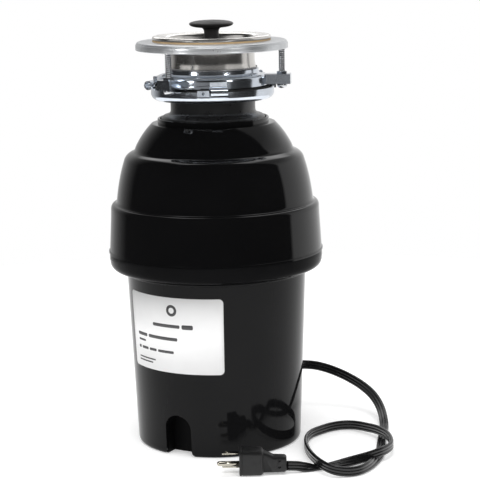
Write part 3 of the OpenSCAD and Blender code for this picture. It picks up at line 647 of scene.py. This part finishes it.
def patch(name, phi_from, phi_to, z_low, z_high, corner, inner, outer, step=2):
    """A thin curved sheet with rounded corners, between two lifts off the lower shell."""
    columns = []
    corner_steps = 8
    r_mid = shell_r((z_low + z_high) / 2)
    span = phi_to - phi_from
    corner_deg = math.degrees(corner / r_mid)
    ends = [corner_deg * (1 - math.cos(math.radians(90 * k / corner_steps)))
            for k in range(corner_steps + 1)]
    inside = max(1, round((span - 2 * corner_deg) / step))
    offsets = ends + [
        corner_deg + (span - 2 * corner_deg) * k / inside for k in range(1, inside)]
    offsets += [span - e for e in reversed(ends)]
    for offset in offsets:
        edge = min(offset, span - offset)
        gone = max(0, 1 - edge / corner_deg)
        cut = corner * (1 - math.sqrt(max(0, 1 - gone * gone)))
        columns.append((phi_from + offset, z_low + cut, z_high - cut))
    bm = bmesh.new()
    skins = []
    for lift in (inner, outer):
        skins.append([[bm.verts.new(heading(phi, shell_r(z) + lift, z)) for z in (low, high)]
                      for phi, low, high in columns])
    below, above = skins
    for i in range(len(columns) - 1):
        bm.faces.new((above[i][0], above[i + 1][0], above[i + 1][1], above[i][1]))
        bm.faces.new((below[i][0], below[i][1], below[i + 1][1], below[i + 1][0]))
        for k in (0, 1):
            bm.faces.new((below[i][k], below[i + 1][k], above[i + 1][k], above[i][k]))
    for i in (0, -1):
        bm.faces.new((below[i][0], below[i][1], above[i][1], above[i][0]))
    return add_mesh(name, bm)


label = patch("rating_label_sheet", LABEL_FROM, LABEL_TO, LABEL_LOW, LABEL_HIGH, LABEL_CORNER,
              SHEET_BACK, SHEET_FACE)
finish_piece(label, "root", LOOKS["label_white"], ["rating_label"])

# Plain bars stand for the printed lines, from angle to angle and from height to height
BARS = [
    (-45, -24, 127.4, 130.6), (-22.6, -15, 126.8, 131.2), (-62, -51.5, 114.6, 117.8),
    (-49.8, -26, 114.6, 117.8), (-61.5, -53.5, 109.3, 111.3), (-62, -59.4, 101.8, 104.4),
    (-57.8, -51, 101.8, 104.4), (-49.6, -43, 101.8, 104.4), (-41.6, -29, 101.8, 104.4),
    (-62, -44.3, 92.5, 93.8), (-62, -47, 89.4, 90.7),
]
marks = [patch("bar", a, b, low, high, (high - low) / 3, SHEET_FACE, PRINT_FACE)
         for a, b, low, high in BARS]

# A plain ring stands for the round mark
RING_Z = 144.4
marks.append(carved(
    patch("dot", -33.2, -25.8, RING_Z - 5.6, RING_Z + 5.6, 5.5, SHEET_FACE, PRINT_FACE, 0.5),
    patch("dot_eye", -31.4, -27.6, RING_Z - 2.9, RING_Z + 2.9, 2.8, 0.2, 0.5, 0.5)))
marks = joined("rating_label_marks", *marks)
finish_piece(marks, "root", LOOKS["ink_grey"])

# ---------------------------------------------------------------- flange and backup ring

MOUNT_SEGMENTS = 256

# The rim from its underside out and over, the bowl and the throat's inside, its end, then back
# up the outside over the bead that holds the snap ring
flange = lathe("sink_flange_spun", [
    (45.2, 394.6), (56.4, 394.6), (57.0, 395), (57.15, 395.9), (57.0, 397), (56.4, 397.7),
    (55.5, 398), (54.5, 398), (50, 397.55), (46, 397.3), (44.9, 397.15), (44.1, 396.8),
    (43.5, 396.3), (43.05, 395.6), (42.75, 394.8), (42.5, 393.6), (42.2, 391.6), (41.7, 389.2),
    (41.0, 386.6), (40.1, 384), (39.5, 381.6), (39.2, 379), (39.2, 353), (41.2, 353),
    (41.6, 353.3), (41.7, 355), (41.3, 357), (41.2, 361.6), (41.5, 362.6), (42.1, 363.4),
    (42.35, 364.2), (42.35, 366), (42.25, 367.4), (42, 369), (41.6, 371), (41.35, 372.6),
    (41.2, 374.5), (41.2, 380), (41.8, 383.6), (42.4, 387), (42.75, 390), (42.8, 392.8),
    (43.4, 394)], segments=MOUNT_SEGMENTS)
finish_piece(flange, "root", LOOKS["polished_steel"], ["sink_flange"])

# A flat ring whose outer edge is rolled down, with a groove near the roll's end
backup = lathe("backup_ring_rolled", [
    (42.9, 391.4), (42.9, 393), (69.6, 393), (70.7, 392.9), (71.7, 392.5), (72.3, 391.9),
    (72.5, 391.3), (72.55, 390.9), (72.9, 390.7), (73.25, 390.3), (73.4, 389.7), (73.4, 387.2),
    (73.2, 386.8), (73.2, 386.5), (73.4, 386.2), (73.4, 385.7), (73.25, 385.3), (72.8, 385.02),
    (72.1, 385.0), (71.7, 385.2), (71.5, 385.7), (71.5, 389.2), (71.2, 390.3), (70.5, 391.1),
    (69.4, 391.4)], segments=MOUNT_SEGMENTS)
finish_piece(backup, "clamp", LOOKS["grey_zinc"], ["backup_ring"])
for turned_piece in (flange, backup):
    weighted_normals(turned_piece)

# ---------------------------------------------------------------- mounting bolts

BOLT_CIRCLE_R = 67.5
BOLT_ANGLE = -36.5
BOLT_R = 3.2
BOLT_TOP_Z = 391.38
THREAD_DEPTH = 0.7
THREAD_PITCH = 1.95
GROOVE_SLOPE = 2.2
CREST_WIDTH = 0.85
HEAD_Z = 346.5
HEAD_H = 4.5
SLOT_HALF_W = 0.6
SLOT_DEPTH = 1.5


def threaded_rod(name, r, depth, pitch, z_low, z_high, about, segments=28, rows_per_turn=10):
    """A rod with a helical thread, tapered at its tip; its groove attribute is 1 in the root."""
    bm = bmesh.new()
    # The groove attribute also tells the bolt material where to paint shade into the thread
    groove_depth = bm.verts.layers.float.new("groove")
    count = round((z_high - z_low) / pitch * rows_per_turn)
    rings = []
    for row in range(count + 1):
        z = z_low + (z_high - z_low) * row / count
        ring = []
        for k in range(segments):
            turn = ((z - z_low) / pitch + k / segments) % 1
            groove = min(1, max(0, GROOVE_SLOPE * abs(2 * turn - 1) - CREST_WIDTH))
            full = min(1, (z_high - z) / pitch * 0.8)
            radius = r - depth * max(groove, 1 - full)
            a = 2 * math.pi * k / segments
            at = Vector((radius * math.cos(a), -radius * math.sin(a), z)) * MM
            vert = bm.verts.new(about @ at)
            vert[groove_depth] = groove
            ring.append(vert)
        rings.append(ring)
    return skinned(name, bm, rings)


bolts = []
for i in range(3):
    stand = Matrix.Translation(heading(BOLT_ANGLE + 120 * i, BOLT_CIRCLE_R, 0))
    head = lathe("head", [
        (0, HEAD_Z), (2.2, HEAD_Z + 0.1), (3.6, HEAD_Z + 0.6), (4.5, HEAD_Z + 1.5),
        (4.95, HEAD_Z + 2.8), (5, HEAD_Z + 4.1), (4.8, HEAD_Z + HEAD_H), (0, HEAD_Z + HEAD_H)],
        segments=48, about=stand, closed=False)
    x, y, _ = stand.translation / MM
    slot_cut = block("slot", (x - 6, y - SLOT_HALF_W, HEAD_Z - 1),
                     (x + 6, y + SLOT_HALF_W, HEAD_Z + SLOT_DEPTH))
    bolts.append(carved(head, slot_cut))
    bolts.append(threaded_rod("thread", BOLT_R, THREAD_DEPTH, THREAD_PITCH,
                              HEAD_Z + HEAD_H - 0.1, BOLT_TOP_Z, stand))
bolts = joined("mounting_bolts_threaded", *bolts)
finish_piece(bolts, "clamp", LOOKS["bolt_steel"], ["mounting_bolts"])

# ---------------------------------------------------------------- strain relief

BOOT_START_R = 76
RIBS = 6
RIB_PITCH = 3.1
RIB_NARROWS = 0.42

# Inner flange, neck through the shell, outer flange, then ribs that narrow towards the tip
boot = [(0, 0), (10, 0), (10, 3.4), (7, 3.5), (7, 7.1), (9.6, 7.1), (10.4, 7.7), (10.4, 8.9),
        (9.8, 9.4), (8.9, 9.5)]
for k in range(RIBS):
    start_z = 10.4 + RIB_PITCH * k
    wide = 8.7 - RIB_NARROWS * k
    boot += [(wide, start_z), (wide - 0.05, start_z + 1.5), (wide - 1.1, start_z + 1.9),
             (wide - 1.15, start_z + 2.7)]
boot += [(6.2, 29.6), (6.1, 30.4), (5.6, 30.96), (0, 30.96)]
relief = lathe("strain_relief_boot", boot, segments=96, closed=False,
               about=pointing(heading(CORD_PHI, BOOT_START_R, CORD_Z),
                              heading(CORD_PHI, 1, 0).normalized()))
finish_piece(relief, "root", LOOKS["cord_black"], ["strain_relief"])

# ---------------------------------------------------------------- plug

# The middle of the plug's face; the plug runs from there along +X
PLUG = Vector((19, -130, 12.3))
BLADE_OFF = 6.35
BLADE_HALF_T = 0.75
PIN_OFF = 6.7

# Along the plug from its face: half width, bottom, top and corner radius of each section
PLUG_SECTIONS = [
    (0, 9.7, -11.5, 11.5, 3.4), (0.35, 10.15, -12.05, 12.05, 3.6), (0.8, 10.25, -12.2, 12.2, 3.7),
    (1.8, 10.25, -12.2, 12.2, 3.7), (2.1, 10.1, -12.0, 12.0, 3.6), (2.3, 9.7, -11.6, 11.6, 3.5),
    (2.9, 9.7, -11.6, 11.6, 3.5), (3.1, 10, -11.9, 11.9, 3.8), (3.5, 10.15, -12.1, 12.1, 4),
    (12, 10.2, -12.15, 12.1, 4.2), (19.2, 10.1, -12.1, 12, 4.4), (20.8, 9.8, -11.8, 11.6, 4.6),
    (21.7, 9.1, -11.2, 10.9, 4.6), (22, 8.2, -10.7, 10.3, 4.4), (22.2, 6.6, -10.5, 9.9, 3.4),
    (23, 6.3, -10.4, 9.5, 3.2), (27, 6.2, -10.4, 7.8, 3.1), (30.6, 6.2, -10.35, 6.1, 3.1),
    (31.4, 6.25, -10.35, 5.6, 3.2), (32.4, 6.3, -10.35, 5.5, 3.4), (38, 6.2, -10.3, 5.3, 3.4),
    (41.6, 6.1, -10.2, 5.1, 3.4), (43, 5.8, -9.9, 4.8, 3.4), (43.7, 5.1, -9.2, 4.1, 3.2),
    (43.95, 4.3, -8.4, 3.3, 3),
]
plug = lofted("plug_body_moulded", [
    [(PLUG + Vector((s, u, v))) * MM for u, v in rounded_box(half, low, high, r)]
    for s, half, low, high, r in PLUG_SECTIONS])
dimples = [
    lathe("dimple", [(0, -1.2), (1.25, -1.2), (1.45, 0), (1.5, 3), (0, 3)], segments=40,
          closed=False, about=pointing((PLUG + Vector((37.2, -6.2, dz))) * MM, (0, -1, 0)))
    for dz in (1.9, -4.4)]

# A shallow triangle is cut from both flanks behind the head, which leaves a web
WEB = ((22.6, -8.6), (30.2, -8.6), (22.6, 7.6))
web_cuts = [
    lofted("web", [
        [(PLUG + Vector((x, y, z))) * MM for x, z in WEB] for y in (side * 5.2, side * 9)])
    for side in (-1, 1)]
carved(plug, *dimples, *web_cuts)
bevelled(plug, 0.25, angle=40)
finish_piece(plug, "root", LOOKS["plug_black"], ["plug_body"])

blades = []
for side in (-1, 1):
    z = PLUG.z + side * BLADE_OFF
    outline = [(-15.9, 3), (-15.1, 2.2), (-0.02, 2), (-0.02, 8.35), (-15.1, 8.15), (-15.9, 7.35)]
    blade = lofted("blade", [
        [Vector((PLUG.x + x, PLUG.y + y, z + dz)) * MM for x, y in outline]
        for dz in (-BLADE_HALF_T, BLADE_HALF_T)])
    hole = lathe("hole", [(0, -2), (1.6, -2), (1.6, 2), (0, 2)], segments=32, closed=False,
                 about=Matrix.Translation(Vector((PLUG.x - 11.6, PLUG.y + 5.2, z)) * MM))
    blades.append(carved(blade, hole))
blades = joined("plug_blades_drilled", *blades)
bevelled(blades, 0.22)
finish_piece(blades, "root", LOOKS["nickel"], ["plug_blades"])
pin = lathe("plug_ground_pin_rounded", [
    (0, 0.02), (2.4, 0.02), (2.4, 17.6), (2.33, 18.6), (2.05, 19.5), (1.5, 20.2), (0.8, 20.55),
    (0, 20.62)], segments=48, closed=False,
    about=pointing((PLUG + Vector((0, -PIN_OFF, 0))) * MM, (-1, 0, 0)))
finish_piece(pin, "root", LOOKS["nickel"], ["plug_ground_pin"])

# ---------------------------------------------------------------- stage and light

# The floor is a disc: past its edge the camera sees the white world, while the glossy shells
# mirror the world's dark front there, and not more floor
FLOOR_R = 0.95
FLOOR_Z = -0.0002
FLOOR_CORNERS = 64
FLOOR_GLOW = 0.26
bm = bmesh.new()
for k in range(FLOOR_CORNERS):
    a = 2 * math.pi * k / FLOOR_CORNERS
    bm.verts.new((FLOOR_R * math.cos(a), FLOOR_R * math.sin(a), FLOOR_Z))
bm.faces.new(bm.verts)
floor = add_mesh("floor", bm, smooth=False)
floor_look = Look("floor_pale", 0.0, 0.7, Specular_IOR_Level=0.1)
floor_look.color(floor_look.mix(floor_look.noise(3), (0.86, 0.86, 0.86), (0.88, 0.88, 0.88)))
floor_look.shader.inputs["Emission Color"].default_value = (1, 1, 1, 1)
floor_look.shader.inputs["Emission Strength"].default_value = FLOOR_GLOW
floor.data.materials.append(floor_look.mat)


def softbox(name, at, target, width, height, power, mirrored=False):
    """An area light, in metres and watts, that shiny surfaces mirror only if asked to."""
    data = bpy.data.lights.new(name, "AREA")
    data.shape = "RECTANGLE"
    data.size = width
    data.size_y = height
    data.energy = power
    light = bpy.data.objects.new(name, data)
    bpy.context.collection.objects.link(light)
    light.location = at
    light.rotation_mode = "QUATERNION"
    light.rotation_quaternion = (Vector(target) - Vector(at)).to_track_quat("-Z", "Y")
    light.visible_glossy = mirrored
    return light


softbox("key_top", (-0.2, -0.5, 2.2), (0, 0, 0.1), 1.8, 1.8, 30)
softbox("front_fill", (0.3, -2.2, 1.0), (0, 0, 0.2), 1.6, 1.2, 12)


def linked_set(name, *pieces):
    """A collection that a light can be limited to."""
    made = bpy.data.collections.new(name)
    for piece in pieces:
        made.objects.link(piece)
    return made


def card(name, at, target, width, height, power, receivers):
    """A reflector card that only the receivers see: the black shells would mirror it too."""
    light = softbox(name, at, target, width, height, power, mirrored=True)
    light.light_linking.receiver_collection = receivers


metal_pieces = linked_set(
    "metal_pieces", backup, bolts, NODES["snap_ring"], NODES["upper_mounting_ring"],
    NODES["lock_ring"], blades, pin)
flange_alone = linked_set("flange_alone", flange)
cord_alone = linked_set("cord_alone", cord)

MOUNT_MIDDLE = (0, 0, 0.37)
for name, at, width, height, power, receivers in (
        ("card_top", (-0.1, -0.9, 1.9), 1.1, 0.4, 8, metal_pieces),
        ("card_left", (-1.3, -1.3, 0.75), 0.35, 0.9, 9, metal_pieces),
        ("card_right", (1.1, -1.5, 0.95), 0.22, 0.9, 7, metal_pieces),
        ("card_low", (0.36, -1.6, 0.2), 0.26, 0.12, 0.09, metal_pieces),
        ("card_wide", (0, -1.65, 0.2), 2.6, 0.26, 0.5, metal_pieces),
        ("card_flare", (0, -1.5, 1.15), 2.0, 0.4, 0.3, flange_alone),
        ("card_bowl", (0, -1.2, 0.8), 2.2, 0.4, 0.6, flange_alone),
        ("card_bowl_left", (-1.25, -0.6, 0.85), 1.5, 0.6, 2.2, flange_alone),
        ("card_bowl_right", (1.25, -0.6, 0.85), 1.5, 0.6, 1.8, flange_alone)):
    card(name, at, MOUNT_MIDDLE, width, height, power, receivers)
card("card_rim", (-0.1, 1.2, 0.9), (0, 0, 0.39), 1.2, 0.3, 2.5, flange_alone)
card("card_cord", (0.1, -0.7, 1.5), (0.13, -0.1, 0), 0.9, 0.25, 5, cord_alone)

# The camera and the soft light see white paper all round. In mirrorings the front is dark; the
# paper starts beside the object on the right and further back on the left, and fades upwards;
# two brighter patches overhead make the highlights on the beads and shoulders.
SOFT_STRENGTH = 0.8
DARK_FRONT = 0.03
world = bpy.data.worlds.new("studio")
bpy.context.scene.world = world
world.use_nodes = True
wt = world.node_tree


def world_node(kind, inputs, **attributes):
    made = wt.nodes.new(kind)
    for key, value in attributes.items():
        setattr(made, key, value)
    for key, value in inputs.items():
        if hasattr(value, "is_output"):
            wt.links.new(value, made.inputs[key])
        else:
            made.inputs[key].default_value = value
    return made.outputs[0]


def world_range(value, start, end, low, high):
    """Maps start..end to low..high."""
    return world_node("ShaderNodeMapRange", {
        "Value": value, "From Min": start, "From Max": end, "To Min": low, "To Max": high})


def world_product(a, b):
    return world_node("ShaderNodeMath", {0: a, 1: b}, operation="MULTIPLY")


def world_mix(factor, a, b):
    return world_node("ShaderNodeMix", {0: factor, 2: a, 3: b}, data_type="FLOAT")


# The direction looked in: x to the right, y away from the camera's side, z up
split = wt.nodes.new("ShaderNodeSeparateXYZ")
wt.links.new(wt.nodes.new("ShaderNodeTexCoord").outputs["Generated"], split.inputs[0])
x, y, z = (split.outputs[axis] for axis in "XYZ")

on_left = world_range(y, 0.38, 0.85, DARK_FRONT, 0.6)
on_right = world_range(y, -0.02, 0.05, DARK_FRONT, 0.95)
paper = world_mix(world_range(x, -0.12, 0.12, 0, 1), on_left, on_right)
paper = world_product(paper, world_range(z, 0.3, 0.65, 1, 0.4))

patch_left = world_range(x, -0.02, -0.12, 0.1, 2.4)
patch_right = world_range(x, 0.16, 0.24, 0, 2)
patches = world_node("ShaderNodeMath", {0: patch_left, 1: patch_right}, operation="ADD")
for axis, start, end in ((y, 0.0, 0.12), (z, 0.35, 0.6), (x, -0.42, -0.3), (x, 0.5, 0.38)):
    patches = world_product(patches, world_range(axis, start, end, 0, 1))
mirrored = world_node("ShaderNodeMath", {0: paper, 1: patches}, operation="MAXIMUM")

rays = wt.nodes.new("ShaderNodeLightPath")
not_seen = world_mix(rays.outputs["Is Glossy Ray"], SOFT_STRENGTH, mirrored)
strength = world_mix(rays.outputs["Is Camera Ray"], not_seen, 1.0)
wt.links.new(strength, wt.nodes["Background"].inputs["Strength"])
wt.nodes["Background"].inputs["Color"].default_value = (1, 1, 1, 1)

bpy.context.scene.view_settings.view_transform = "Standard"
